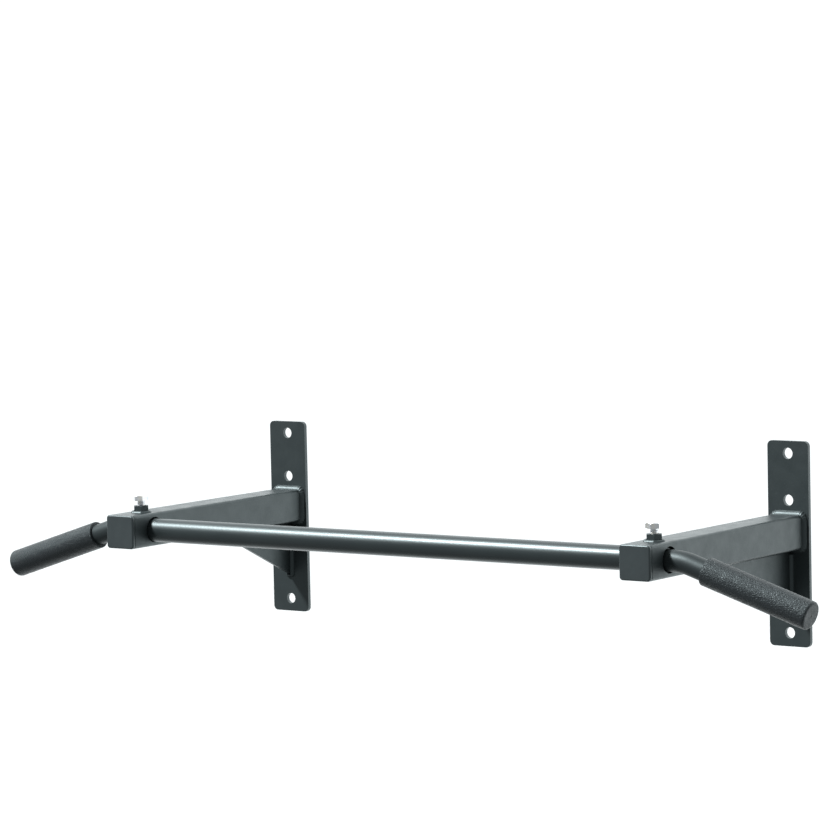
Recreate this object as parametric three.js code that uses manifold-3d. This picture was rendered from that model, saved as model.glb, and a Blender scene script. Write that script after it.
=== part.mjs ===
// Wall-mounted pull-up bar: two welded wall brackets carry a straight centre bar, and a bent handle
// with a soft grip slides into each end of the bar, where a bolt on top of the arm clamps it.
//
// Millimetres, +Z up. The wall is the plane y = 0 and the bar stands off it towards -Y. The origin is
// on the wall, midway between the brackets, level with the middle of the arms.

import * as THREE from 'three';
import { mergeVertices } from 'three/addons/utils/BufferGeometryUtils.js';
import Module from 'manifold-3d';

// ---- driving dimensions ----

const ARM_SPACING = 724;        // between the centre lines of the two arms
const BAR_REACH = 300;          // wall to bar axis
const GAP = 0.3;                // kept between faces that touch

const PLATE = { width: 54, height: 240, top: 105.5, thickness: 5, corner: 6 };
const SCREW_HOLE = { radius: 6.5, heights: [91, 36.5, -118.5] };

const ARM = { size: 40, wall: 2, corner: 4, front: 337 };
const GUSSET = { thickness: 5, reach: 147.5, drop: 68.5, nose: 1.5 };
const WELD_LEG = 5;             // bead round the arm
const FILLET_LEG = 4;           // beads along the gusset
const CAP = { face: 5, edge: 1.2, spigot: 14, spigotWall: 2 };

const BAR = { radius: 14, wall: 1.2, endShort: 4 };
const BAR_HOLE_RADIUS = 15;     // through both side walls of each arm
const HANDLE = {
    radius: 12.5, wall: 2, inserted: 70, lead: 4, bendRadius: 80, bendAngle: 17.8, shortOfGrip: 1,
};
const GRIP = { radius: 16.5, start: 48, length: 137, end: 4, round: 4, lip: 1, ventRadius: 1 };

const THREAD_RADIUS = 5;        // M10
const HEX_FLATS = 17;           // across the flats of the nut and of the bolt head
const NUT = { height: 8, weldLeg: 3, turned: { left: 9, right: 2 } };
const BOLT = {
    length: 22, head: 6.4, point: 1.5, clearanceRadius: 5.5, turned: { left: 20, right: 38 },
};

const SIDES = { tube: 36, shank: 24 };  // flats round a tube, and round a bolt

// ---- places worked out from them ----

const DEG = Math.PI / 180;
const halfArm = ARM.size / 2;
const barZ = -(BAR_HOLE_RADIUS - BAR.radius - GAP);     // the bar lies in the bottom of its holes
const plateFront = -PLATE.thickness;
const gussetTop = -halfArm - GAP;
const gussetFoot = -halfArm - GUSSET.drop;
const nutBase = halfArm + GAP;
const boltTip = barZ + HANDLE.radius + GAP;             // it presses on the handle's tube
const tubeEnd = GRIP.start + GRIP.length - GRIP.end - HANDLE.shortOfGrip;

// ---- finishes ----

const finishes = {
    coat: { color: 0x34373b, roughness: 0.42, metalness: 0.0 },
    barCoat: { color: 0x26282b, roughness: 0.25, metalness: 0.0 },
    capPlastic: { color: 0x3a3b3d, roughness: 0.6, metalness: 0.0 },
    gripFoam: { color: 0x2b2c2e, roughness: 0.8, metalness: 0.0 },
    zinc: { color: 0xb9bcc0, roughness: 0.3, metalness: 1.0 },
};

const pullUpBar = new THREE.Group();

function addPiece(name, geometry, finish, [x, y, z] = [0, 0, 0]) {
    const mesh = new THREE.Mesh(geometry, new THREE.MeshStandardMaterial(finishes[finish]));
    mesh.name = name;
    mesh.position.set(x, y, z);
    pullUpBar.add(mesh);
    return mesh;
}

// ---- shape helpers ----

const wasm = await Module();
wasm.setup();

function toSolid(geometry) {
    const bare = geometry.clone();
    bare.deleteAttribute('normal');
    bare.deleteAttribute('uv');
    const welded = mergeVertices(bare);
    return new wasm.Manifold(new wasm.Mesh({
        numProp: 3,
        vertProperties: new Float32Array(welded.attributes.position.array),
        triVerts: new Uint32Array(welded.index.array),
    }));
}

function toGeometry(solid) {
    const mesh = solid.getMesh();
    const geometry = new THREE.BufferGeometry();
    const places = new Float32Array(mesh.vertProperties);
    geometry.setAttribute('position', new THREE.BufferAttribute(places, 3));
    geometry.setIndex(new THREE.BufferAttribute(new Uint32Array(mesh.triVerts), 1));
    const faceted = geometry.toNonIndexed();
    faceted.computeVertexNormals();
    return faceted;
}

function cut(geometry, ...tools) {
    return toGeometry(tools.reduce((solid, tool) => solid.subtract(toSolid(tool)), toSolid(geometry)));
}

function join(...geometries) {
    return toGeometry(geometries.map(toSolid).reduce((whole, solid) => whole.add(solid)));
}

function common(first, second) {
    return toGeometry(toSolid(first).intersect(toSolid(second)));
}

// A rectangle with round corners, centred on (cx, cy); as a Path it is a hole, as a Shape a face.
function roundedRect(Kind, width, height, corner, cx = 0, cy = 0) {
    const [x, y] = [width / 2 - corner, height / 2 - corner];
    const outline = new Kind();
    outline.absarc(cx + x, cy + y, corner, 0, 90 * DEG);
    outline.absarc(cx - x, cy + y, corner, 90 * DEG, 180 * DEG);
    outline.absarc(cx - x, cy - y, corner, 180 * DEG, 270 * DEG);
    outline.absarc(cx + x, cy - y, corner, 270 * DEG, 360 * DEG);
    outline.closePath();
    return outline;
}

function circlePath(radius, cx = 0, cy = 0) {
    return new THREE.Path().absarc(cx, cy, radius, 0, 360 * DEG);
}

// Extrudes a shape drawn as seen from the front (right, up) by a depth towards the viewer, along -Y.
function extrudeForward(shape, depth, back, curveSegments = 3) {
    return new THREE.ExtrudeGeometry(shape, { depth, curveSegments, bevelEnabled: false })
        .rotateX(90 * DEG)
        .translate(0, -back, 0);
}

function extrudeUp(shape, depth, bottom = 0) {
    return new THREE.ExtrudeGeometry(shape, { depth, curveSegments: 12, bevelEnabled: false })
        .translate(0, 0, bottom);
}

function polygon(points) {
    return new THREE.Shape(points.map(([x, y]) => new THREE.Vector2(x, y)));
}

// A slab drawn as (distance from the wall, height), thickened evenly to both sides in X.
function sideSlab(points, thickness) {
    const axes = new THREE.Matrix4().makeBasis(
        new THREE.Vector3(0, -1, 0), new THREE.Vector3(0, 0, 1), new THREE.Vector3(-1, 0, 0));
    return new THREE.ExtrudeGeometry(polygon(points), { depth: thickness, bevelEnabled: false })
        .translate(0, 0, -thickness / 2)
        .applyMatrix4(axes);
}

function rodAlongX(radius, length, [x, y, z]) {
    return new THREE.CylinderGeometry(radius, radius, length, SIDES.tube)
        .rotateZ(90 * DEG)
        .translate(x, y, z);
}

function rodAlongZ(radius, length, [x, y, z]) {
    return new THREE.CylinderGeometry(radius, radius, length, SIDES.shank)
        .rotateX(90 * DEG)
        .translate(x, y, z);
}

function hexagon(flats) {
    const corner = flats / Math.sqrt(3);
    const angles = [0, 1, 2, 3, 4, 5].map((i) => i * 60 * DEG);
    return polygon(angles.map((angle) => [corner * Math.cos(angle), corner * Math.sin(angle)]));
}

// ---- the welded wall bracket, about its own centre line ----

function wallPlate() {
    const middle = PLATE.top - PLATE.height / 2;
    const shape = roundedRect(THREE.Shape, PLATE.width, PLATE.height, PLATE.corner, 0, middle);
    shape.holes = SCREW_HOLE.heights.map((height) => circlePath(SCREW_HOLE.radius, 0, height));
    return extrudeForward(shape, PLATE.thickness, 0, 8);
}

function armTube() {
    const shape = roundedRect(THREE.Shape, ARM.size, ARM.size, ARM.corner);
    const inside = ARM.size - 2 * ARM.wall;
    shape.holes = [roundedRect(THREE.Path, inside, inside, ARM.corner - ARM.wall)];
    const tube = extrudeForward(shape, ARM.front - PLATE.thickness - GAP, PLATE.thickness + GAP);
    return cut(tube,
        rodAlongX(BAR_HOLE_RADIUS, 2 * ARM.size, [0, -BAR_REACH, 0]),
        rodAlongZ(BOLT.clearanceRadius, halfArm, [0, -BAR_REACH, halfArm]));
}

function gusset() {
    const back = PLATE.thickness + GAP;
    return sideSlab([
        [back, gussetTop],
        [GUSSET.reach, gussetTop],
        [GUSSET.reach, gussetTop - GUSSET.nose],
        [back, gussetFoot],
    ], GUSSET.thickness);
}

// A four-sided bead round the arm's foot, highest against the arm and broken by the gusset.
function armWeld() {
    const foot = ARM.size + 2 * WELD_LEG;
    const slope = new THREE.CylinderGeometry(halfArm * Math.SQRT2, foot / Math.SQRT2, WELD_LEG, 4)
        .rotateY(45 * DEG)
        .translate(0, WELD_LEG / 2, 0)
        .rotateX(180 * DEG)
        .translate(0, plateFront - GAP, 0);
    const corners = extrudeForward(
        roundedRect(THREE.Shape, foot, foot, ARM.corner + WELD_LEG), 2 * WELD_LEG, PLATE.thickness);
    const armSize = ARM.size + 2 * GAP;
    const arm = extrudeForward(
        roundedRect(THREE.Shape, armSize, armSize, ARM.corner + GAP), 3 * WELD_LEG, 0);
    return cut(common(slope, corners), arm, gussetRoom());
}

// Room for the gusset inside its beads.
function gussetRoom() {
    return sideSlab([
        [0, 0],
        [GUSSET.reach + GAP, 0],
        [GUSSET.reach + GAP, gussetTop - GUSSET.nose - 2 * GAP],
        [PLATE.thickness + GAP, gussetFoot - 2 * GAP],
        [0, gussetFoot - 2 * GAP],
    ], GUSSET.thickness + 2 * GAP);
}

// A straight bead of three-cornered section, drawn flat and as long as it runs.
function beadPrism(length) {
    const inner = GUSSET.thickness / 2;
    const outer = inner + FILLET_LEG;
    const section = polygon([[-outer, 0], [outer, 0], [inner, FILLET_LEG], [-inner, FILLET_LEG]]);
    return new THREE.ExtrudeGeometry(section, { depth: length, bevelEnabled: false });
}

// Down both sides of the gusset against the wall plate, and round its foot.
function gussetPlateWeld() {
    const top = -halfArm - WELD_LEG - 2 * GAP;
    const bottom = gussetFoot - FILLET_LEG;
    const bead = beadPrism(top - bottom).rotateZ(180 * DEG).translate(0, plateFront - GAP, bottom);
    return cut(bead, gussetRoom());
}

// Along both sides of the gusset under the arm, and round its nose.
function gussetArmWeld() {
    const start = PLATE.thickness + WELD_LEG + 3 * GAP;
    const end = GUSSET.reach + FILLET_LEG;
    const bead = beadPrism(end - start)
        .rotateX(90 * DEG)
        .rotateY(180 * DEG)
        .translate(0, -start, gussetTop);
    return cut(bead, gussetRoom());
}

function endCap() {
    const faceShape = roundedRect(THREE.Shape, ARM.size - 2 * CAP.edge, ARM.size - 2 * CAP.edge,
        ARM.corner - CAP.edge);
    const face = new THREE.ExtrudeGeometry(faceShape, {
        depth: CAP.face - 2 * CAP.edge, curveSegments: 3,
        bevelSize: CAP.edge, bevelThickness: CAP.edge, bevelSegments: 2,
    }).rotateX(90 * DEG).translate(0, -CAP.edge, 0);
    const outer = ARM.size - 2 * ARM.wall - 2 * GAP;
    const inner = outer - 2 * CAP.spigotWall;
    const corner = ARM.corner - ARM.wall;
    const plug = roundedRect(THREE.Shape, outer, outer, corner);
    plug.holes = [roundedRect(THREE.Path, inner, inner, corner / 2)];
    return join(face, extrudeForward(plug, CAP.spigot + CAP.edge, -CAP.spigot));
}

// ---- the clamping screw on top of each arm ----

function clampNut() {
    const shape = hexagon(HEX_FLATS);
    shape.holes = [circlePath(THREAD_RADIUS + GAP)];
    return extrudeUp(shape, NUT.height);
}

function nutWeld() {
    const corner = HEX_FLATS / Math.sqrt(3);
    const cone = new THREE.CylinderGeometry(corner + GAP, corner + NUT.weldLeg, NUT.weldLeg, 32)
        .rotateX(90 * DEG)
        .translate(0, 0, NUT.weldLeg / 2);
    return cut(cone, extrudeUp(hexagon(HEX_FLATS + 2 * GAP), 4 * NUT.weldLeg, -NUT.weldLeg));
}

// Its point is at z = 0.
function lockingBolt() {
    const profile = [
        [0, 0], [THREAD_RADIUS - BOLT.point, 0], [THREAD_RADIUS, BOLT.point],
        [THREAD_RADIUS, BOLT.length + BOLT.head / 2], [0, BOLT.length + BOLT.head / 2],
    ].map(([r, height]) => new THREE.Vector2(r, height));
    const shank = new THREE.LatheGeometry(profile, SIDES.shank).rotateX(90 * DEG);
    return join(shank, extrudeUp(hexagon(HEX_FLATS), BOLT.head, BOLT.length));
}

// ---- the bar and its handles ----

function centreBar() {
    const half = ARM_SPACING / 2 + halfArm - BAR.endShort;
    const inner = BAR.radius - BAR.wall;
    const profile = [
        [inner, -half], [BAR.radius, -half], [BAR.radius, half], [inner, half], [inner, -half],
    ].map(([r, x]) => new THREE.Vector2(r, x));
    const tube = new THREE.LatheGeometry(profile, SIDES.tube).rotateZ(-90 * DEG);
    const boltHoles = [-1, 1].map((side) =>
        rodAlongZ(BOLT.clearanceRadius, BAR.radius, [side * ARM_SPACING / 2, 0, BAR.radius]));
    return cut(tube, ...boltHoles);
}

// The handle's centre line. Distance 0 is where it leaves the arm's outer face; it runs straight out
// for the lead, bends down round the bend radius and goes on straight.
class HandleLine extends THREE.Curve {
    constructor(side, from, to) {
        super();
        Object.assign(this, { side, from, to });
    }

    at(distance) {
        const bend = HANDLE.bendAngle * DEG;
        const turned = Math.min(Math.max((distance - HANDLE.lead) / HANDLE.bendRadius, 0), bend);
        const beyond = Math.max(distance - HANDLE.lead - HANDLE.bendRadius * bend, 0);
        const lead = Math.min(distance, HANDLE.lead);
        const out = lead + HANDLE.bendRadius * Math.sin(turned) + beyond * Math.cos(turned);
        const down = HANDLE.bendRadius * (1 - Math.cos(turned)) + beyond * Math.sin(turned);
        return new THREE.Vector3(this.side * (ARM_SPACING / 2 + halfArm + out), 0, -down);
    }

    getPoint(t, target = new THREE.Vector3()) {
        return target.copy(this.at(this.from + t * (this.to - this.from)));
    }
}

function handleTube(side) {
    const ring = new THREE.Shape().absarc(0, 0, HANDLE.radius, 0, 360 * DEG);
    ring.holes = [circlePath(HANDLE.radius - HANDLE.wall)];
    return new THREE.ExtrudeGeometry(ring, {
        extrudePath: new HandleLine(side, -HANDLE.inserted, tubeEnd),
        steps: 26,
        curveSegments: 12,
    });
}

// A sleeve over the tube, closed at its outer end but for a small vent. Its mouth is at y = 0.
function grip() {
    const bore = HANDLE.radius + GAP;
    const edge = (cx, cy, radius, from, to, steps) => Array.from({ length: steps + 1 }, (_, i) => {
        const angle = (from + (to - from) * i / steps) * DEG;
        return [cx + radius * Math.cos(angle), cy + radius * Math.sin(angle)];
    });
    const points = [
        [bore, 0],
        ...edge(GRIP.radius - GRIP.lip, GRIP.lip, GRIP.lip, -90, 0, 3),
        ...edge(GRIP.radius - GRIP.round, GRIP.length - GRIP.round, GRIP.round, 0, 90, 5),
        [GRIP.ventRadius, GRIP.length],
        [GRIP.ventRadius, GRIP.length - GRIP.end],
        [bore, GRIP.length - GRIP.end],
        [bore, 0],
    ];
    return new THREE.LatheGeometry(points.map(([r, y]) => new THREE.Vector2(r, y)), SIDES.tube);
}

// ---- assembly ----

addPiece('centre_bar', centreBar(), 'barCoat', [0, -BAR_REACH, barZ]);

for (const [name, side] of [['left', -1], ['right', 1]]) {
    const x = side * ARM_SPACING / 2;

    addPiece(`wall_plate_${name}`, wallPlate(), 'coat', [x, 0, 0]);
    addPiece(`arm_${name}`, armTube(), 'coat', [x, 0, 0]);
    addPiece(`gusset_${name}`, gusset(), 'coat', [x, 0, 0]);
    addPiece(`arm_weld_${name}`, armWeld(), 'coat', [x, 0, 0]);
    addPiece(`gusset_plate_weld_${name}`, gussetPlateWeld(), 'coat', [x, 0, 0]);
    addPiece(`gusset_arm_weld_${name}`, gussetArmWeld(), 'coat', [x, 0, 0]);
    addPiece(`end_cap_${name}`, endCap(), 'capPlastic', [x, -ARM.front - GAP, 0]);

    const nut = addPiece(`clamp_nut_${name}`, clampNut(), 'coat', [x, -BAR_REACH, nutBase]);
    const nutBead = addPiece(`nut_weld_${name}`, nutWeld(), 'coat', [x, -BAR_REACH, nutBase]);
    const bolt = addPiece(`locking_bolt_${name}`, lockingBolt(), 'zinc', [x, -BAR_REACH, boltTip]);
    nut.rotation.z = NUT.turned[name] * DEG;
    nutBead.rotation.z = NUT.turned[name] * DEG;
    bolt.rotation.z = BOLT.turned[name] * DEG;

    addPiece(`handle_tube_${name}`, handleTube(side), 'barCoat', [0, -BAR_REACH, barZ]);

    const handleLine = new HandleLine(side, GRIP.start, GRIP.start + GRIP.length);
    const [mouth, tip] = [handleLine.getPoint(0), handleLine.getPoint(1)];
    const gripPlace = mouth.clone().add(new THREE.Vector3(0, -BAR_REACH, barZ));
    const gripMesh = addPiece(`grip_${name}`, grip(), 'gripFoam', gripPlace.toArray());
    gripMesh.quaternion.setFromUnitVectors(new THREE.Vector3(0, 1, 0), tip.sub(mouth).normalize());
}

export default pullUpBar;
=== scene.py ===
# %% [markdown]
# # A wall-mounted pull-up bar
# Two welded steel brackets screw to a wall and hold a round bar about a forearm's length in front of
# it. A bent handle with a foam grip slides into each end of the bar. A short bolt on top of each arm
# runs through a welded nut and clamps the handle. Every cell below makes one kind of piece, from a
# primitive shape, by the steps that a person at the keyboard would take. The measured model is loaded
# first, because each piece takes its place and size from it.

# %% Load the measured model
import math

import bmesh
import bpy
from mathutils import Matrix, Vector


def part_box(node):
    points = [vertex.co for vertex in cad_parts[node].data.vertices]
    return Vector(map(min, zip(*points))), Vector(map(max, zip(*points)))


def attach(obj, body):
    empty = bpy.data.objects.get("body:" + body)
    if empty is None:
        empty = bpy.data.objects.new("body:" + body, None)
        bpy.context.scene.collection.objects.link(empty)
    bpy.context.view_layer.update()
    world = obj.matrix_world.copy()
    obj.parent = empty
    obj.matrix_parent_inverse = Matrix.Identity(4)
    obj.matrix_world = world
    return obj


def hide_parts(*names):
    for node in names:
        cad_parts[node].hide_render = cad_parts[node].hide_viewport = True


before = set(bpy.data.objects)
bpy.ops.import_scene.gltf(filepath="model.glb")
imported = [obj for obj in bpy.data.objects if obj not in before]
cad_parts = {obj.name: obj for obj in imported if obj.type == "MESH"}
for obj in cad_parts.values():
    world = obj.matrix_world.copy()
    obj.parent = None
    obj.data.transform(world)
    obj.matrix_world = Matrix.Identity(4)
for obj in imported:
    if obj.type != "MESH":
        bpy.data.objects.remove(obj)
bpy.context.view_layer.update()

MM = 0.001

# %% [markdown]
# ## The camera
# The bar is looked at from its right, a little from above, through a long lens, so that the two
# brackets stay nearly parallel. The camera comes first, because the lights are hung to suit it.

# %% Place the camera
CAMERA_PLACE = Vector((2.7393, -4.1232, 0.5380))
LOOKS_LEFT, LOOKS_DOWN, ROLLS = (math.radians(a) for a in (35.2025, 4.7331, -1.2212))
LENS_MM = 178.6

camera_data = bpy.data.cameras.new("camera")
camera_data.lens = LENS_MM
camera_data.clip_end = 100
camera = bpy.data.objects.new("camera", camera_data)
bpy.context.scene.collection.objects.link(camera)
aim = Matrix.Rotation(LOOKS_LEFT, 4, "Z") @ Matrix.Rotation(math.pi / 2 - LOOKS_DOWN, 4, "X")
camera.matrix_world = Matrix.Translation(CAMERA_PLACE) @ aim @ Matrix.Rotation(ROLLS, 4, "Z")
bpy.context.scene.camera = camera
print("camera", round((CAMERA_PLACE - Vector((0, -0.3, 0))).length, 2), "m from the bar")

# %% [markdown]
# ## Soft studio light
# The set is a lit white wall in a dimmer room. So the world is brightest behind the bar and dim on
# the camera's side: dark paint shows a pale sheen where it is seen at a shallow angle, and stays dark
# where it faces the room. The backdrop itself is plain white from every side. One soft box hangs in
# front, high on the left. It draws the bright stripe along the bar and throws the gussets' shadows
# across the wall plates.

# %% Light the room
WALL_LIGHT, ROOM_LIGHT, BACKDROP_LIGHT = 2.1, 0.4, 1.15
LIGHT_TINT = (0.95, 0.99, 1.0, 1)


def graph_node(tree, kind, values=None, **properties):
    """Adds a shader node, sets its properties, then its input sockets by name or number."""
    node = tree.nodes.new("ShaderNode" + kind)
    for key, value in properties.items():
        setattr(node, key, value)
    for socket, value in (values or {}).items():
        node.inputs[socket].default_value = value
    return node


world = bpy.data.worlds.new("studio")
bpy.context.scene.world = world
world.use_nodes = True
sky = world.node_tree
facing = graph_node(sky, "VectorMath", {1: (0, 1, 0)}, operation="DOT_PRODUCT")
fade_range = {"From Min": -0.1, "From Max": 0.75, "To Min": ROOM_LIGHT, "To Max": WALL_LIGHT}
fade = graph_node(sky, "MapRange", fade_range, interpolation_type="SMOOTHSTEP")
seen = graph_node(sky, "Mix", {"B": BACKDROP_LIGHT})
sky.links.new(graph_node(sky, "TexCoord").outputs["Generated"], facing.inputs[0])
sky.links.new(facing.outputs["Value"], fade.inputs["Value"])
sky.links.new(graph_node(sky, "LightPath").outputs["Is Camera Ray"], seen.inputs["Factor"])
sky.links.new(fade.outputs["Result"], seen.inputs["A"])
sky.links.new(seen.outputs["Result"], sky.nodes["Background"].inputs["Strength"])
sky.nodes["Background"].inputs["Color"].default_value = LIGHT_TINT
bpy.context.scene.view_settings.view_transform = "Standard"

# %% Hang the soft box
KEY_DIRECTION = Vector((-0.47, -0.43, 0.77))
KEY_DISTANCE = 6
KEY_WATTS = 950

bar_middle = Vector((0, -0.3, 0))
key_place = bar_middle + KEY_DISTANCE * KEY_DIRECTION

key_data = bpy.data.lights.new("key", "AREA")
key_data.shape = "RECTANGLE"
key_data.size, key_data.size_y, key_data.energy = 1.4, 0.5, KEY_WATTS
key = bpy.data.objects.new("key", key_data)
bpy.context.scene.collection.objects.link(key)
key_turn = (-KEY_DIRECTION).to_track_quat("-Z", "Y")
key.matrix_world = Matrix.Translation(key_place) @ key_turn.to_matrix().to_4x4()
print("key light at", [round(c, 2) for c in key_place])

# %% [markdown]
# ## A pale floor
# The bar hangs on a wall, so the floor is well below it. Only the camera sees it: to the shiny coats
# the room stays dim below as well as in front, as it would with a dark cloth laid down. It isn't part
# of the object.

# %% Lay the floor
FLOOR_DROP = 1.2
FLOOR_SIZE = 14

bpy.ops.mesh.primitive_plane_add(size=FLOOR_SIZE, location=(0, 0, -FLOOR_DROP))
floor = bpy.context.object
floor.name = "floor"
floor.visible_glossy = floor.visible_diffuse = False
floor_paint = bpy.data.materials.new("floor_paint")
floor_paint.use_nodes = True
floor_shader = floor_paint.node_tree.nodes["Principled BSDF"]
floor_shader.inputs["Base Color"].default_value = (0.95, 0.95, 0.95, 1)
floor_shader.inputs["Roughness"].default_value = 0.9
floor.data.materials.append(floor_paint)
print("floor", FLOOR_DROP, "m below the arms")

# %% [markdown]
# ## Reading the measured model
# The boxes of the measured parts give nearly every size here. The left bracket is modelled, and the
# right one is a copy of it, moved along the bar.

# %% Read the sizes
plate_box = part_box("wall_plate_left")
arm_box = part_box("arm_left")
gusset_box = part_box("gusset_left")
cap_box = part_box("end_cap_left")
nut_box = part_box("clamp_nut_left")
bolt_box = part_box("locking_bolt_left")
bar_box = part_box("centre_bar")

arm_x = (arm_box[0].x + arm_box[1].x) / 2
bracket_spacing = -2 * arm_x
arm_half = (arm_box[1].x - arm_box[0].x) / 2
plate_front = plate_box[0].y
bar_radius = (bar_box[1].z - bar_box[0].z) / 2
bar_y = (bar_box[0].y + bar_box[1].y) / 2
bar_z = bar_box[1].z - bar_radius
bar_half = bar_box[1].x
print("arms", round(bracket_spacing / MM), "mm apart, bar", round(-bar_y / MM), "mm off the wall")

# %% [markdown]
# ## Small helpers
# An operator works on everything that is selected, so each new primitive starts from an empty
# selection. Faces and edges are then picked by where they are. The last helper takes an object's
# place and size into its mesh, so that the object itself stays at the origin.

# %% Selecting and applying


def settle(piece):
    """Takes the object's place, turn and size into its mesh."""
    bpy.ops.object.transform_apply(location=True, rotation=True, scale=True)
    return piece


def work_on(piece):
    """Makes piece the only selected object, and the active one."""
    if bpy.context.object and bpy.context.object.mode != "OBJECT":
        bpy.ops.object.mode_set(mode="OBJECT")
    bpy.ops.object.select_all(action="DESELECT")
    piece.select_set(True)
    bpy.context.view_layer.objects.active = piece


def block(name, low, high):
    """A cube primitive drawn out between two corners."""
    bpy.ops.object.select_all(action="DESELECT")
    bpy.ops.mesh.primitive_cube_add(size=1, location=(low + high) / 2)
    cube = bpy.context.object
    cube.name = name
    cube.scale = high - low
    return settle(cube)


TURN_TO = {"X": (0, math.pi / 2, 0), "Y": (math.pi / 2, 0, 0), "Z": (0, 0, 0)}


def rod(name, centre, radius, length, along="Z", sides=96, ends="NGON", turn=0.0):
    """A cylinder primitive along one axis. turn spins it about its own axis."""
    bpy.ops.object.select_all(action="DESELECT")
    bpy.ops.mesh.primitive_cylinder_add(
        vertices=sides, radius=radius, depth=length, end_fill_type=ends, location=centre,
        rotation=TURN_TO[along] if along != "Z" else (0, 0, turn))
    cylinder = bpy.context.object
    cylinder.name = name
    return settle(cylinder)


def pick(piece, kind, test):
    """Goes into edit mode and selects the faces, edges or vertices that pass the test."""
    work_on(piece)
    bpy.ops.object.mode_set(mode="EDIT")
    bpy.ops.mesh.select_mode(type=kind)
    bpy.ops.mesh.select_all(action="DESELECT")
    shape = bmesh.from_edit_mesh(piece.data)
    items = {"VERT": shape.verts, "EDGE": shape.edges, "FACE": shape.faces}[kind]
    chosen = [item for item in items if test(item)]
    for item in chosen:
        item.select_set(True)
    bmesh.update_edit_mesh(piece.data)
    return len(chosen)


def runs_along(axis):
    """A test for edges that lie along one axis."""
    return lambda edge: abs((edge.verts[1].co - edge.verts[0].co).normalized()[axis]) > 0.999


def finish_with(piece, kind, **settings):
    """Adds one modifier, sets it and applies it."""
    work_on(piece)
    modifier = piece.modifiers.new(kind.lower(), kind)
    for key, value in settings.items():
        setattr(modifier, key, value)
    bpy.ops.object.modifier_apply(modifier=modifier.name)
    return piece


def combine(piece, tool, how):
    """Joins, cuts or crosses piece with tool, and throws the tool away."""
    finish_with(piece, "BOOLEAN", operation=how, solver="EXACT", object=tool)
    bpy.data.objects.remove(tool)
    return piece


def drill(piece, centre, radius, length, along):
    return combine(piece, rod("drill", centre, radius, length, along), "DIFFERENCE")


def soften(piece, width, segments=3, smooth_angle=40):
    """Rounds every sharp edge a little, then keeps flat faces flat in the shading."""
    finish_with(piece, "BEVEL", width=width, segments=segments, limit_method="ANGLE",
                angle_limit=math.radians(30), use_clamp_overlap=True)
    work_on(piece)
    bpy.ops.object.shade_smooth_by_angle(angle=math.radians(smooth_angle))
    finish_with(piece, "WEIGHTED_NORMAL", keep_sharp=True, weight=60)
    print(piece.name, len(piece.data.polygons), "faces")
    return piece


# %% [markdown]
# ## Materials
# All the steel is painted, so each finish is built from the same few things: a colour that drifts
# slightly from place to place, a roughness that does the same, and two sizes of fine bump. Patterns
# read Object coordinates in metres, so a scale of 1000 makes marks about one millimetre across.

# %% Node helpers


def new_finish(name, **uniform):
    """A material whose shader sockets are set straight to the uniform values."""
    material = bpy.data.materials.new(name)
    material.use_nodes = True
    shader = material.node_tree.nodes["Principled BSDF"]
    for socket, value in uniform.items():
        shader.inputs[socket.replace("_", " ")].default_value = value
    return material, shader


def noise(tree, scale, detail=4.0, roughness=0.55, stretch=None):
    """Noise on Object coordinates. stretch squeezes it along each axis."""
    place = graph_node(tree, "TexCoord").outputs["Object"]
    if stretch:
        mapping = graph_node(tree, "Mapping", {"Scale": stretch})
        tree.links.new(place, mapping.inputs["Vector"])
        place = mapping.outputs["Vector"]
    node = graph_node(tree, "TexNoise", {"Scale": scale, "Detail": detail, "Roughness": roughness})
    tree.links.new(place, node.inputs["Vector"])
    return node.outputs["Fac"]


def ramp(tree, source, stops):
    """A colour ramp from (position, colour) stops."""
    node = graph_node(tree, "ValToRGB")
    elements = node.color_ramp.elements
    while len(elements) < len(stops):
        elements.new(0.5)
    for element, (position, colour) in zip(elements, stops):
        element.position = position
        element.color = (*colour, 1)
    tree.links.new(source, node.inputs["Fac"])
    return node.outputs["Color"]


def spread(tree, source, low, high, start=0.3, end=0.7):
    """Maps the middle of a noise to the range from low to high."""
    limits = {"From Min": start, "From Max": end, "To Min": low, "To Max": high}
    node = graph_node(tree, "MapRange", limits)
    tree.links.new(source, node.inputs["Value"])
    return node.outputs["Result"]


def bumps(tree, shader, layers):
    """Stacks (height source, depth in metres, strength) layers of bump and feeds the shader."""
    below = None
    for height, depth, strength in layers:
        node = graph_node(tree, "Bump", {"Strength": strength, "Distance": depth})
        tree.links.new(height, node.inputs["Height"])
        if below:
            tree.links.new(below, node.inputs["Normal"])
        below = node.outputs["Normal"]
    tree.links.new(below, shader.inputs["Normal"])


# %% [markdown]
# ### Powder coat on the brackets
# Powder coat is sprayed on dry and baked. It flows into a skin with a gentle orange peel, a
# millimetre or two across, and a much finer grit on top. Its colour is a dark slate with a trace of
# green-blue. The welds wear the same coat, a little thicker and so a little glossier.

# %% Make the bracket coats
COAT_TINT = (0.80, 0.97, 1.0, 1)


def powder_coat(name, dark, light, rough, peel_depth):
    material, shader = new_finish(name, IOR=1.6, Specular_Tint=COAT_TINT)
    tree = material.node_tree
    tone = ramp(tree, noise(tree, 14, 5), [(0.35, dark), (0.65, light)])
    tree.links.new(tone, shader.inputs["Base Color"])
    gloss = spread(tree, noise(tree, 60, 6), rough - 0.04, rough + 0.06)
    tree.links.new(gloss, shader.inputs["Roughness"])
    bumps(tree, shader, [
        (noise(tree, 420, 2), peel_depth, 0.6),
        (noise(tree, 2600, 3, 0.6), 0.01 * MM, 0.5),
    ])
    return material


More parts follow.
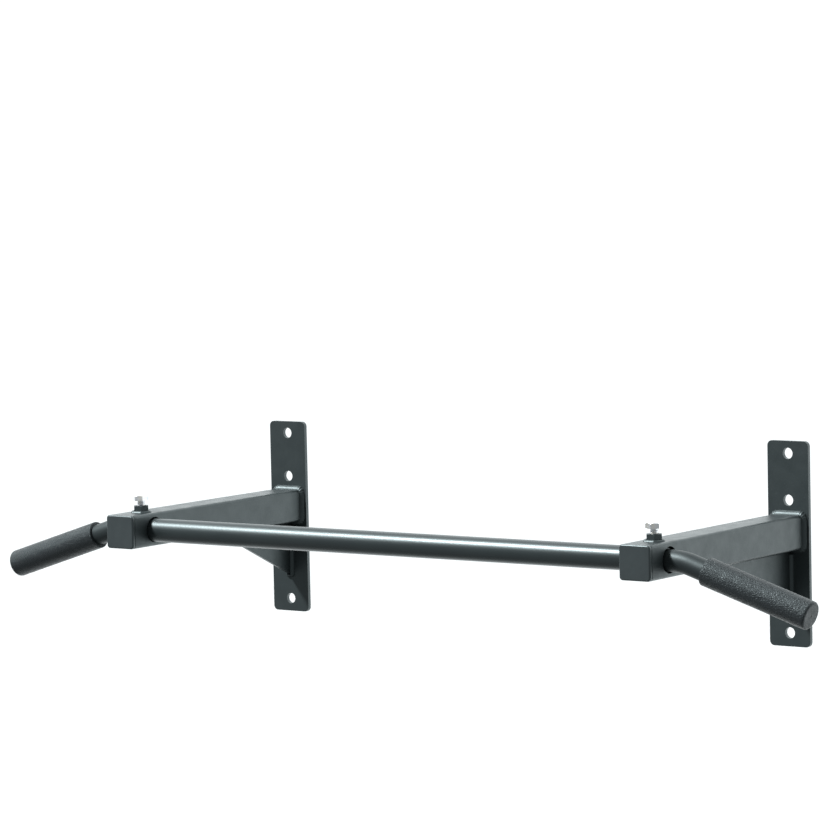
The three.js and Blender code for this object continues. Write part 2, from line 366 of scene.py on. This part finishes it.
SLATE = (0.0125, 0.0165, 0.0175)
bracket_coat = powder_coat(
    "slate_powder_coat", (0.0105, 0.0140, 0.0150), SLATE, 0.45, 0.12 * MM)
weld_coat = powder_coat(
    "weld_powder_coat", (0.0100, 0.0135, 0.0145), SLATE, 0.45, 0.1 * MM)
print("coats:", bracket_coat.name, weld_coat.name)

# %% [markdown]
# ### Semi-gloss coat on the round tubes
# The tubes are smoother than the brackets, with a tighter, longer reflection. Hands and shipping
# leave faint hairlines along them, and a few specks of dust sit in the coat.

# %% Make the tube coats


def tube_finish(name, shine, rough, smoother):
    """A coat for round tube: shine is its IOR, and rough to smoother its range of roughness."""
    material, shader = new_finish(name, IOR=shine, Specular_Tint=COAT_TINT)
    tree = material.node_tree
    tone = ramp(tree, noise(tree, 9, 4), [
        (0.35, (0.008, 0.0105, 0.0115)), (0.65, (0.012, 0.0155, 0.0165))])
    tree.links.new(tone, shader.inputs["Base Color"])
    hairlines = noise(tree, 30, 6, 0.7, stretch=(1, 60, 60))
    tree.links.new(spread(tree, hairlines, smoother, rough), shader.inputs["Roughness"])
    bumps(tree, shader, [
        (noise(tree, 380, 3), 0.16 * MM, 0.5),
        (noise(tree, 2200, 2), 0.008 * MM, 0.5),
    ])
    return material


bar_coat = tube_finish("semi_gloss_coat", 1.58, 0.44, 0.34)
handle_coat = tube_finish("satin_coat", 1.45, 0.54, 0.46)
print("coats:", bar_coat.name, handle_coat.name)

# %% [markdown]
# ### Moulded plastic, zinc and foam
# The caps are moulded plastic with a spark-eroded grain. The bolts are bright zinc, which is never
# one even silver: the passivation leaves a faint blue and straw tint. The grips are closed-cell foam,
# matt, with a crumpled skin that catches light on its tiny creases.

# %% Make the cap plastic
cap_plastic, cap_shader = new_finish("grained_plastic", IOR=1.55, Specular_Tint=COAT_TINT)
cap_tree = cap_plastic.node_tree
cap_tone = ramp(cap_tree, noise(cap_tree, 35, 5), [
    (0.35, (0.023, 0.028, 0.030)), (0.65, (0.027, 0.033, 0.035))])
cap_tree.links.new(cap_tone, cap_shader.inputs["Base Color"])
cap_roughness = spread(cap_tree, noise(cap_tree, 150, 4), 0.34, 0.44)
cap_tree.links.new(cap_roughness, cap_shader.inputs["Roughness"])
bumps(cap_tree, cap_shader, [(noise(cap_tree, 1500, 3, 0.6), 0.05 * MM, 0.7)])

# %% Make the zinc
zinc, zinc_shader = new_finish("bright_zinc", Metallic=1.0)
zinc_tree = zinc.node_tree
zinc_tone = ramp(zinc_tree, noise(zinc_tree, 220, 3), [
    (0.3, (0.70, 0.73, 0.78)), (0.5, (0.80, 0.81, 0.82)), (0.7, (0.82, 0.80, 0.74))])
zinc_tree.links.new(zinc_tone, zinc_shader.inputs["Base Color"])
zinc_roughness = spread(zinc_tree, noise(zinc_tree, 500, 5), 0.34, 0.5)
zinc_tree.links.new(zinc_roughness, zinc_shader.inputs["Roughness"])
bumps(zinc_tree, zinc_shader, [(noise(zinc_tree, 1500, 4, 0.7), 0.02 * MM, 0.5)])

# %% Make the foam
grip_foam, foam_shader = new_finish("crumpled_foam", IOR=1.39, Specular_Tint=COAT_TINT)
foam_tree = grip_foam.node_tree
foam_tone = ramp(foam_tree, noise(foam_tree, 700, 5, 0.7), [
    (0.32, (0.011, 0.013, 0.0145)), (0.55, (0.0145, 0.017, 0.019)), (0.72, (0.024, 0.027, 0.030))])
foam_tree.links.new(foam_tone, foam_shader.inputs["Base Color"])
foam_roughness = spread(foam_tree, noise(foam_tree, 300, 4), 0.38, 0.52)
foam_tree.links.new(foam_roughness, foam_shader.inputs["Roughness"])
creases = graph_node(foam_tree, "TexVoronoi", {"Scale": 480.0}, feature="DISTANCE_TO_EDGE")
foam_tree.links.new(graph_node(foam_tree, "TexCoord").outputs["Object"], creases.inputs["Vector"])
bumps(foam_tree, foam_shader, [
    (noise(foam_tree, 750, 4, 0.65), 0.26 * MM, 1.0),
    (spread(foam_tree, creases.outputs["Distance"], 0, 1, 0.0, 0.2), 0.22 * MM, 1.0),
])
print("finishes:", cap_plastic.name, zinc.name, grip_foam.name)

# %% [markdown]
# ## Handing pieces to the frame
# A piece takes its name and its material, hangs on the body that carries it, and hides the measured
# part it stands for.
# A left-hand piece is copied for the right-hand bracket, and each copy has a mesh of its own.

# %% Give a piece its place in the assembly


def hand_over(piece, name, node, body, material):
    piece.name = name
    piece.data.name = name
    piece.data.materials.clear()
    piece.data.materials.append(material)
    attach(piece, body)
    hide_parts(node)


def pair(piece, name, node, material, body="frame", turns=(0, 0)):
    """Copies a left-hand piece to the right, and hands over both. turns are degrees about the bolt."""
    work_on(piece)
    bpy.ops.object.duplicate(linked=False)
    twin = bpy.context.object
    bolt_axis = Matrix.Translation((arm_x, bar_y, 0))
    for side, item, shift, turn in (
            ("left", piece, 0, turns[0]), ("right", twin, bracket_spacing, turns[1])):
        spin = bolt_axis @ Matrix.Rotation(math.radians(turn), 4, "Z") @ bolt_axis.inverted()
        item.data.transform(Matrix.Translation((shift, 0, 0)) @ spin)
        side_body = body if body == "frame" else f"{body}_{side}"
        hand_over(item, f"{name}_{side}", f"{node}_{side}", side_body, material)
    print(name, "left and right,", len(piece.data.polygons), "faces each")


# %% [markdown]
# ## The wall plate
# A length of flat steel bar with its corners ground round and three drilled holes. It could be a flat
# outline made solid, but a cube is closer to the real stock: its four corner edges are bevelled, the
# holes are drilled through with cylinders, and a last small bevel takes the sharpness off.

# %% Make the wall plates
PLATE_CORNER = 6 * MM
SCREW_HOLE_RADIUS = 6.5 * MM
SCREW_HEIGHTS = (91 * MM, 36.5 * MM, -118.5 * MM)

plate = block("plate", *plate_box)
pick(plate, "EDGE", runs_along(1))
bpy.ops.mesh.bevel(offset=PLATE_CORNER, segments=10, affect="EDGES")
bpy.ops.object.mode_set(mode="OBJECT")
for height in SCREW_HEIGHTS:
    drill(plate, (arm_x, plate_front / 2, height), SCREW_HOLE_RADIUS, 20 * MM, "Y")
soften(plate, 0.6 * MM)
pair(plate, "plate", "wall_plate", bracket_coat)

# %% [markdown]
# ## The arm
# Square tube, 40 mm on a side. Cold-rolled tube has round corners, about twice the wall's thickness.
# The cube's long edges are bevelled, its two ends are taken off, and Solidify gives the skin its
# wall. The bar's hole goes through both sides, and the bolt's hole through the top only.

# %% Make the arms
ARM_CORNER = 4 * MM
ARM_WALL = 2 * MM
BAR_HOLE_RADIUS = 15 * MM
BOLT_HOLE_RADIUS = 5.5 * MM

arm = block("arm", *arm_box)
pick(arm, "EDGE", runs_along(1))
bpy.ops.mesh.bevel(offset=ARM_CORNER, segments=8, affect="EDGES")
pick(arm, "FACE", lambda face: abs(face.normal.y) > 0.9)
bpy.ops.mesh.delete(type="ONLY_FACE")
bpy.ops.object.mode_set(mode="OBJECT")
finish_with(arm, "SOLIDIFY", thickness=ARM_WALL, offset=-1, use_even_offset=True)
drill(arm, (arm_x, bar_y, 0), BAR_HOLE_RADIUS, 3 * arm_half, "X")
drill(arm, (arm_x, bar_y, arm_half), BOLT_HOLE_RADIUS, arm_half, "Z")
soften(arm, 0.35 * MM)
pair(arm, "arm_tube", "arm", bracket_coat)

# %% [markdown]
# ## The gusset
# A triangle of plate that stops the arm from drooping. A block is cut along its sloping edge with
# Bisect, which fills the cut as it goes.

# %% Make the gussets
gusset_low, gusset_high = gusset_box
GUSSET_NOSE = 1.5 * MM

gusset = block("gusset", gusset_low, gusset_high)
slope_start = Vector((arm_x, gusset_low.y, gusset_high.z - GUSSET_NOSE))
slope_end = Vector((arm_x, gusset_high.y, gusset_low.z))
slope_normal = (slope_end - slope_start).cross(Vector((1, 0, 0))).normalized()
pick(gusset, "FACE", lambda face: True)
bpy.ops.mesh.bisect(plane_co=slope_start, plane_no=slope_normal, use_fill=True,
                    clear_outer=slope_normal.z < 0, clear_inner=slope_normal.z > 0)
bpy.ops.object.mode_set(mode="OBJECT")
soften(gusset, 0.6 * MM)
pair(gusset, "gusset_web", "gusset", bracket_coat)

# %% [markdown]
# ## The end cap
# A moulded plug. Its face has the tube's own outline with a rounded rim, and a hollow spigot behind
# it grips the inside of the tube. Inset and extrude make the spigot from the back of the face.

# %% Make the end caps
CAP_FACE = 5 * MM
CAP_RIM = 2.0 * MM
CAP_SEAM = 0.7 * MM
SPIGOT_SHOULDER = 2.3 * MM
SPIGOT_WALL = 2 * MM

cap_low, cap_high = cap_box
cap_back = cap_low.y + CAP_FACE
spigot_length = cap_high.y - cap_back
cap = block("cap", cap_low, Vector((cap_high.x, cap_back, cap_high.z)))
pick(cap, "EDGE", runs_along(1))
bpy.ops.mesh.bevel(offset=ARM_CORNER, segments=8, affect="EDGES")
pick(cap, "FACE", lambda face: face.normal.y < -0.9)
bpy.ops.mesh.region_to_loop()
bpy.ops.mesh.bevel(offset=CAP_RIM, segments=6, affect="EDGES")
pick(cap, "FACE", lambda face: face.normal.y > 0.9)
bpy.ops.mesh.inset(thickness=SPIGOT_SHOULDER)
bpy.ops.mesh.extrude_region_move(TRANSFORM_OT_translate={"value": (0, spigot_length, 0)})
bpy.ops.mesh.inset(thickness=SPIGOT_WALL)
bpy.ops.mesh.extrude_region_move(TRANSFORM_OT_translate={"value": (0, SPIGOT_WALL - spigot_length, 0)})
pick(cap, "EDGE", lambda edge: all(abs(v.co.y - cap_back) < 1e-5 for v in edge.verts)
     and max(max(abs(v.co.x - arm_x), abs(v.co.z)) for v in edge.verts) > arm_half - 1 * MM)
bpy.ops.mesh.bevel(offset=CAP_SEAM, segments=3, affect="EDGES")
bpy.ops.object.mode_set(mode="OBJECT")
soften(cap, 0.2 * MM, segments=2)
pair(cap, "cap", "end_cap", cap_plastic)

# %% [markdown]
# ## Hexagons: the clamp nut and the locking bolt
# A nut is a six-sided rod whose corners have been turned down on a lathe, which leaves a curved edge
# on each flat. The same happens here: a six-sided cylinder is crossed with a round blank that has a
# bevelled rim.

# %% Make the clamp nuts
HEX_FLATS = 17 * MM
HEX_CORNER = HEX_FLATS / math.sqrt(3)
HEX_CHAMFER = 1.1 * MM
THREAD_RADIUS = 5 * MM
bolt_centre = Vector((arm_x, bar_y, 0))


def hexagon(name, low_z, high_z, chamfered_ends):
    """A hexagon between two heights with turned corners at its top end, or at both."""
    middle = bolt_centre + Vector((0, 0, (low_z + high_z) / 2))
    hexagonal = rod(name, middle, HEX_CORNER, high_z - low_z, sides=6, turn=math.pi / 6)
    blank = rod("blank", middle, HEX_CORNER, high_z - low_z, sides=128)
    rims = [high_z, low_z][:chamfered_ends]
    pick(blank, "EDGE", lambda edge: any(
        all(abs(v.co.z - rim) < 1e-5 for v in edge.verts) for rim in rims))
    bpy.ops.mesh.bevel(offset=HEX_CHAMFER, segments=1, affect="EDGES")
    bpy.ops.object.mode_set(mode="OBJECT")
    return combine(hexagonal, blank, "INTERSECT")


nut_low, nut_high = nut_box
nut = hexagon("nut", nut_low.z, nut_high.z, 2)
drill(nut, bolt_centre + Vector((0, 0, nut_high.z)), THREAD_RADIUS + 0.3 * MM, 40 * MM, "Z")
soften(nut, 0.2 * MM, segments=2, smooth_angle=25)
NUT_TURNS = (9, 2)      # degrees, left and right
pair(nut, "nut", "clamp_nut", bracket_coat, turns=NUT_TURNS)

# %% [markdown]
# The bolt's thread shows between the nut and the head. A small four-cornered ring section is drawn
# and the Screw modifier winds it up the shank, one pitch a turn. The core, the thread and the head
# are then joined into one solid.

# %% Make the locking bolts
PITCH = 1.5 * MM
CORE_RADIUS = 4.2 * MM
HEAD_HEIGHT = 6.4 * MM
WASHER_FACE = 0.5 * MM
WASHER_RADIUS = 7.8 * MM
BOLT_POINT = 1.2 * MM

bolt_tip, bolt_top = bolt_box[0].z, bolt_box[1].z
under_head = bolt_top - HEAD_HEIGHT
bolt = hexagon("bolt", under_head + WASHER_FACE, bolt_top, 1)
washer_centre = bolt_centre + Vector((0, 0, under_head + WASHER_FACE))
combine(bolt, rod("washer_face", washer_centre, WASHER_RADIUS, 2 * WASHER_FACE), "UNION")
core_middle = bolt_centre + Vector((0, 0, (bolt_tip + under_head) / 2))
core = rod("core", core_middle, CORE_RADIUS, under_head - bolt_tip + 2 * WASHER_FACE, sides=64)
core.data.transform(Matrix.Translation((0, 0, WASHER_FACE)))
pick(core, "EDGE", lambda edge: all(v.co.z < bolt_tip + 0.1 * MM for v in edge.verts))
bpy.ops.mesh.bevel(offset=BOLT_POINT, segments=1, affect="EDGES")
bpy.ops.object.mode_set(mode="OBJECT")

bpy.ops.object.select_all(action="DESELECT")
bpy.ops.mesh.primitive_plane_add(size=1, location=(0, 0, 0))
thread = bpy.context.object
THREAD_CREST = 4.97 * MM
THREAD_ROOT = CORE_RADIUS - 0.3 * MM
thread_profile = [
    (THREAD_ROOT, -0.72), (THREAD_CREST, -0.1), (THREAD_CREST, 0.1), (THREAD_ROOT, 0.72)]
for vertex, index in zip(thread.data.vertices, (0, 1, 3, 2)):
    radius, rise = thread_profile[index]
    vertex.co = (radius, 0, bolt_tip + BOLT_POINT + 0.5 * PITCH + rise * MM)
pick(thread, "FACE", lambda face: True)
bpy.ops.mesh.delete(type="ONLY_FACE")
bpy.ops.object.mode_set(mode="OBJECT")
turns = int((under_head - bolt_tip - BOLT_POINT) / PITCH) - 1
finish_with(thread, "SCREW", axis="Z", screw_offset=PITCH, iterations=turns, steps=40, render_steps=40,
            use_normal_calculate=True)
pick(thread, "EDGE", lambda edge: edge.is_boundary)
bpy.ops.mesh.fill_holes(sides=0)
bpy.ops.mesh.select_all(action="SELECT")
bpy.ops.mesh.normals_make_consistent(inside=False)
bpy.ops.object.mode_set(mode="OBJECT")
thread.data.transform(Matrix.Translation(bolt_centre))
combine(core, thread, "UNION")
combine(bolt, core, "UNION")
work_on(bolt)
bpy.ops.object.shade_smooth_by_angle(angle=math.radians(28))
pair(bolt, "bolt", "locking_bolt", zinc, body="bolt", turns=(20, 38))

# %% [markdown]
# ## Weld beads
# A bead is a row of small overlapping puddles, each frozen as the torch moved on. One puddle is a
# squashed sphere. It is copied along the joint, the row is fused with a voxel remesh, and the part
# that would lie inside the steel is cut away, so that only the fillet in the corner is left.

# %% A tool that lays a bead
PUDDLE_STEP = 2.0 * MM
PUDDLE_LENGTH = 3.6 * MM
VOXEL = 0.33 * MM
RIPPLE_SMOOTHING = 10


def along_path(corners, closed, step):
    """Evenly spaced points on a path through corners, each with its direction of travel."""
    ends = corners[1:] + corners[:1] if closed else corners[1:]
    for start, end in zip(corners, ends):
        count = max(1, round((end - start).length / step))
        for index in range(count):
            yield start.lerp(end, index / count), (end - start).normalized()


def lay_bead(name, corners, rise, leg, closed=True):
    """Lays a bead in a corner. rise points from the base plate up the standing piece's side."""
    bury = 0.45 * leg
    radius = math.hypot(leg + bury, bury)
    bpy.ops.object.select_all(action="DESELECT")
    bpy.ops.mesh.primitive_uv_sphere_add(segments=24, ring_count=12, radius=1)
    puddle = bpy.context.object
    copies = []
    for point, travel in along_path(corners, closed, PUDDLE_STEP):
        outward = travel.cross(rise).normalized()
        centre = point - bury * outward - bury * rise
        axes = Matrix((travel * PUDDLE_LENGTH, outward * radius, rise * radius)).transposed()
        copy = puddle.copy()
        copy.data = puddle.data.copy()
        copy.data.transform(Matrix.Translation(centre) @ axes.to_4x4())
        bpy.context.scene.collection.objects.link(copy)
        copies.append(copy)
    bpy.data.objects.remove(puddle)
    work_on(copies[0])
    for copy in copies:
        copy.select_set(True)
    bpy.ops.object.join()
    bead = bpy.context.object
    bead.name = name
    finish_with(bead, "REMESH", mode="VOXEL", voxel_size=VOXEL)
    finish_with(bead, "SMOOTH", factor=0.5, iterations=RIPPLE_SMOOTHING)
    print(name, "bead of", len(copies), "puddles")
    return bead


def trim_below(bead, place, normal):
    """Cuts away what lies behind a plane and closes the cut."""
    pick(bead, "FACE", lambda face: True)
    bpy.ops.mesh.bisect(plane_co=place, plane_no=normal, use_fill=True, clear_inner=True)
    bpy.ops.object.mode_set(mode="OBJECT")


def smooth_bead(bead):
    work_on(bead)
    bpy.ops.object.shade_smooth_by_angle(angle=math.radians(50))


# %% [markdown]
# The first bead runs right round the arm where it stands on the wall plate. The gusset interrupts it
# underneath.

# %% Weld the arm to the plate
ARM_LEG = 4.8 * MM
GUSSET_LEG = 3.9 * MM
TOUCH = 0.05 * MM
OUTWARD = Vector((0, -1, 0))


def square_path(half, corner, y):
    """The corner points of a rounded square round the arm, in the order that a bead follows."""
    points = []
    for quarter in range(4):
        for step in range(4):
            angle = math.radians(90 * quarter + 30 * step)
            sx, sz = ((1, 1), (-1, 1), (-1, -1), (1, -1))[quarter]
            points.append(Vector((
                arm_x + sx * (half - corner) + corner * math.cos(angle), y,
                sz * (half - corner) + corner * math.sin(angle))))
    return points


arm_bead = lay_bead("arm_bead", square_path(arm_half, ARM_CORNER, plate_front), OUTWARD, ARM_LEG)
trim_below(arm_bead, Vector((0, plate_front - TOUCH, 0)), OUTWARD)
arm_core = block("arm_core", Vector((arm_box[0].x - TOUCH, plate_front - 0.03, arm_box[0].z - TOUCH)),
                 Vector((arm_box[1].x + TOUCH, 0.01, arm_box[1].z + TOUCH)))
pick(arm_core, "EDGE", runs_along(1))
bpy.ops.mesh.bevel(offset=ARM_CORNER, segments=8, affect="EDGES")
bpy.ops.object.mode_set(mode="OBJECT")
combine(arm_bead, arm_core, "DIFFERENCE")


def gusset_blank():
    """The gusset's room, a hair bigger than the gusset, for trimming beads."""
    return block("gusset_blank", Vector((gusset_low.x - TOUCH, gusset_low.y, gusset_low.z)),
                 Vector((gusset_high.x + TOUCH, 0.01, gusset_high.z + 0.01)))


combine(arm_bead, gusset_blank(), "DIFFERENCE")
smooth_bead(arm_bead)
pair(arm_bead, "foot_bead", "arm_weld", weld_coat)

# %% [markdown]
# The gusset has two more beads. One goes down its side against the plate, round its foot and up the
# other side. The other does the same under the arm and round the gusset's nose.

# %% Weld the gusset
foot_z = gusset_low.z
nose_y = gusset_low.y
bead_top = arm_box[0].z - ARM_LEG - 0.8 * MM
plate_path = [
    Vector((gusset_low.x, plate_front, bead_top)), Vector((gusset_low.x, plate_front, foot_z)),
    Vector((gusset_high.x, plate_front, foot_z)), Vector((gusset_high.x, plate_front, bead_top))]
plate_bead = lay_bead("plate_bead", plate_path, OUTWARD, GUSSET_LEG, closed=False)
trim_below(plate_bead, Vector((0, plate_front - TOUCH, 0)), OUTWARD)
trim_below(plate_bead, Vector((0, 0, bead_top)), Vector((0, 0, -1)))
combine(plate_bead, gusset_blank(), "DIFFERENCE")
smooth_bead(plate_bead)
pair(plate_bead, "gusset_foot_bead", "gusset_plate_weld", weld_coat)

under_start = plate_front - ARM_LEG - 1.0 * MM
under_z = arm_box[0].z
DOWN = Vector((0, 0, -1))
under_path = [
    Vector((gusset_high.x, under_start, under_z)), Vector((gusset_high.x, nose_y, under_z)),
    Vector((gusset_low.x, nose_y, under_z)), Vector((gusset_low.x, under_start, under_z))]
under_bead = lay_bead("under_bead", under_path, DOWN, GUSSET_LEG, closed=False)
trim_below(under_bead, Vector((0, 0, under_z - TOUCH)), DOWN)
trim_below(under_bead, Vector((0, under_start, 0)), OUTWARD)
combine(under_bead, gusset_blank(), "DIFFERENCE")
smooth_bead(under_bead)
pair(under_bead, "gusset_top_bead", "gusset_arm_weld", weld_coat)

# %% Weld the nut to the arm
UP = Vector((0, 0, 1))
NUT_LEG = 2.1 * MM
hex_corners = [
    bolt_centre + Vector((HEX_CORNER * math.cos(math.radians(-60 * i)),
                          HEX_CORNER * math.sin(math.radians(-60 * i)), arm_half)) for i in range(6)]
nut_bead = lay_bead("nut_bead", hex_corners, UP, NUT_LEG)
trim_below(nut_bead, Vector((0, 0, arm_half + TOUCH)), UP)
nut_core = rod("nut_core", bolt_centre + Vector((0, 0, arm_half)), HEX_CORNER + 2 * TOUCH,
               30 * MM, sides=6, turn=math.pi / 6)
combine(nut_bead, nut_core, "DIFFERENCE")
smooth_bead(nut_bead)
pair(nut_bead, "nut_bead", "nut_weld", weld_coat, turns=NUT_TURNS)

# %% [markdown]
# ## The centre bar
# Plain round tube with an open end inside each arm. The wall is thin enough for the handle's tube to
# slide inside it, and a hole near each end lets the bolt through to press on the handle.

# %% Make the bar
BAR_WALL = 1.2 * MM

bar = rod("bar", (0, bar_y, bar_z), bar_radius, 2 * bar_half, "X", sides=128, ends="NOTHING")
finish_with(bar, "SOLIDIFY", thickness=BAR_WALL, offset=-1, use_even_offset=True)
for end_x in (arm_x, -arm_x):
    drill(bar, (end_x, bar_y, bar_z + bar_radius), BOLT_HOLE_RADIUS, bar_radius, "Z")
soften(bar, 0.25 * MM, segments=2)
hand_over(bar, "bar", "centre_bar", "frame", bar_coat)
print("bar", round(2 * bar_half / MM), "mm long")

# %% [markdown]
# ## The handles
# Each handle is one piece of tube with one bend. A ring of vertices is extruded to where the bend
# starts, Spin carries it round the bend, and another extrude finishes the straight under the grip.
# The right handle is modelled and turned half round the upright to make the left one.

# %% Make the handle tubes
HANDLE_RADIUS = 12.5 * MM
HANDLE_WALL = 2 * MM
INSERTED = 70 * MM
LEAD = 4 * MM
BEND_RADIUS = 80 * MM
BEND = math.radians(17.8)
GRIP_START = 48 * MM
GRIP_LENGTH = 137 * MM
GRIP_END = 4 * MM
SHORT_OF_GRIP = 1 * MM

arm_face = -arm_x + arm_half
bend_start = arm_face + LEAD
arc_length = BEND_RADIUS * BEND
slope_direction = Vector((math.cos(BEND), 0, -math.sin(BEND)))
bend_end = Vector((
    bend_start + BEND_RADIUS * math.sin(BEND), bar_y, bar_z - BEND_RADIUS * (1 - math.cos(BEND))))


def on_slope(distance):
    """The point at that distance along the handle, past the bend, from the arm's face."""
    return bend_end + slope_direction * (distance - LEAD - arc_length)


bpy.ops.object.select_all(action="DESELECT")
bpy.ops.mesh.primitive_circle_add(vertices=96, radius=HANDLE_RADIUS, fill_type="NOTHING",
                                  location=(arm_face - INSERTED, bar_y, bar_z), rotation=TURN_TO["X"])
handle = settle(bpy.context.object)
pick(handle, "EDGE", lambda edge: True)
bpy.ops.mesh.extrude_region_move(TRANSFORM_OT_translate={"value": (INSERTED + LEAD, 0, 0)})
bend_centre = (bend_start, bar_y, bar_z - BEND_RADIUS)
bpy.ops.mesh.spin(steps=14, angle=-BEND, center=bend_centre, axis=(0, 1, 0))
straight = on_slope(GRIP_START + GRIP_LENGTH - GRIP_END - SHORT_OF_GRIP) - bend_end
bpy.ops.mesh.extrude_region_move(TRANSFORM_OT_translate={"value": straight})
bpy.ops.mesh.select_all(action="SELECT")
bpy.ops.mesh.remove_doubles(threshold=0.01 * MM)
bpy.ops.mesh.normals_make_consistent(inside=False)
bpy.ops.object.mode_set(mode="OBJECT")
finish_with(handle, "SOLIDIFY", thickness=HANDLE_WALL, offset=-1, use_even_offset=True)
soften(handle, 0.3 * MM, segments=2)


def handle_pair(piece, name, node, material):
    """Copies a right-hand piece half a turn round the bar's middle, and hands over both."""
    work_on(piece)
    bpy.ops.object.duplicate(linked=False)
    twin = bpy.context.object
    upright = Matrix.Translation((0, bar_y, 0))
    twin.data.transform(upright @ Matrix.Rotation(math.pi, 4, "Z") @ upright.inverted())
    hand_over(piece, f"{name}_right", f"{node}_right", "handle_right", material)
    hand_over(twin, f"{name}_left", f"{node}_left", "handle_left", material)
    print(name, "left and right,", len(piece.data.polygons), "faces each")


handle_pair(handle, "bent_tube", "handle_tube", handle_coat)

# %% [markdown]
# ## The foam grips
# A closed foam sleeve is pushed over the tube. Its far end is closed, with a pin hole that lets the
# air out as it goes on. Its skin is pressed with shallow creases. The sleeve is modelled upright and
# dense, Displace moves its skin in and out by a fraction of a millimetre, and then it is laid along
# the handle.

# %% Make the grips
GRIP_RADIUS = 16.5 * MM
GRIP_BORE = HANDLE_RADIUS + 0.3 * MM
GRIP_ROUND = 3.0 * MM
GRIP_LIP = 0.8 * MM
VENT_RADIUS = 1.0 * MM
SKIN = 0.2 * MM


def at_height(z, radius=None):
    """A test for edges that lie at one height, and on one circle if a radius is given."""
    return lambda edge: all(
        abs(v.co.z - z) < 0.05 * MM and (radius is None or abs(v.co.xy.length - radius) < 0.05 * MM)
        for v in edge.verts)


skin_radius = GRIP_RADIUS - SKIN
sleeve = rod("sleeve", (0, 0, GRIP_LENGTH / 2), skin_radius, GRIP_LENGTH - 2 * SKIN, sides=220)
sleeve_top = GRIP_LENGTH - SKIN
pick(sleeve, "FACE", lambda face: face.normal.z < -0.9)
bpy.ops.mesh.inset(thickness=skin_radius - GRIP_BORE)
bore_depth = GRIP_LENGTH - GRIP_END - SKIN
bpy.ops.mesh.extrude_region_move(TRANSFORM_OT_translate={"value": (0, 0, bore_depth)})
pick(sleeve, "EDGE", at_height(sleeve_top))
bpy.ops.mesh.bevel(offset=GRIP_ROUND, segments=8, affect="EDGES")
pick(sleeve, "EDGE", at_height(SKIN, skin_radius))
bpy.ops.mesh.bevel(offset=GRIP_LIP, segments=3, affect="EDGES")
pick(sleeve, "FACE", lambda face: face.normal.z > 0.999)
END_RINGS = 14
for ring in range(END_RINGS):
    bpy.ops.mesh.inset(thickness=(skin_radius - GRIP_ROUND - VENT_RADIUS) / END_RINGS)
for cuts in (99, 2):
    pick(sleeve, "EDGE",
         lambda edge: runs_along(2)(edge) and edge.verts[0].co.xy.length > GRIP_BORE + MM)
    bpy.ops.mesh.subdivide(number_cuts=cuts)
bpy.ops.object.mode_set(mode="OBJECT")
print("sleeve", len(sleeve.data.polygons), "faces")

# %% Press creases into the skin
pick(sleeve, "VERT",
     lambda v: v.co.xy.length > GRIP_BORE + 0.5 * MM or v.co.z > GRIP_LENGTH - 1 * MM)
bpy.ops.object.vertex_group_assign_new()
bpy.ops.object.mode_set(mode="OBJECT")
sleeve.vertex_groups[0].name = "skin"


def press(name, kind, grain, strength, **settings):
    """Displaces the sleeve's skin by a procedural texture whose marks are about one grain across."""
    texture = bpy.data.textures.new(name, kind)
    for key, value in {"noise_scale": grain, **settings}.items():
        setattr(texture, key, value)
    finish_with(sleeve, "DISPLACE", texture=texture, texture_coords="LOCAL", strength=strength,
                mid_level=0.5, vertex_group="skin")


press("crumple", "CLOUDS", 2.2 * MM, 0.5 * SKIN, noise_depth=3)
press("cells", "VORONOI", 1.6 * MM, 1.2 * SKIN, distance_metric="DISTANCE_SQUARED")
drill(sleeve, (0, 0, GRIP_LENGTH), VENT_RADIUS, 1.5 * GRIP_END, "Z")
work_on(sleeve)
bpy.ops.object.shade_smooth_by_angle(angle=math.radians(45))
sleeve.rotation_euler = (0, math.pi / 2 + BEND, 0)
sleeve.location = on_slope(GRIP_START)
settle(sleeve)
handle_pair(sleeve, "sleeve", "grip", grip_foam)
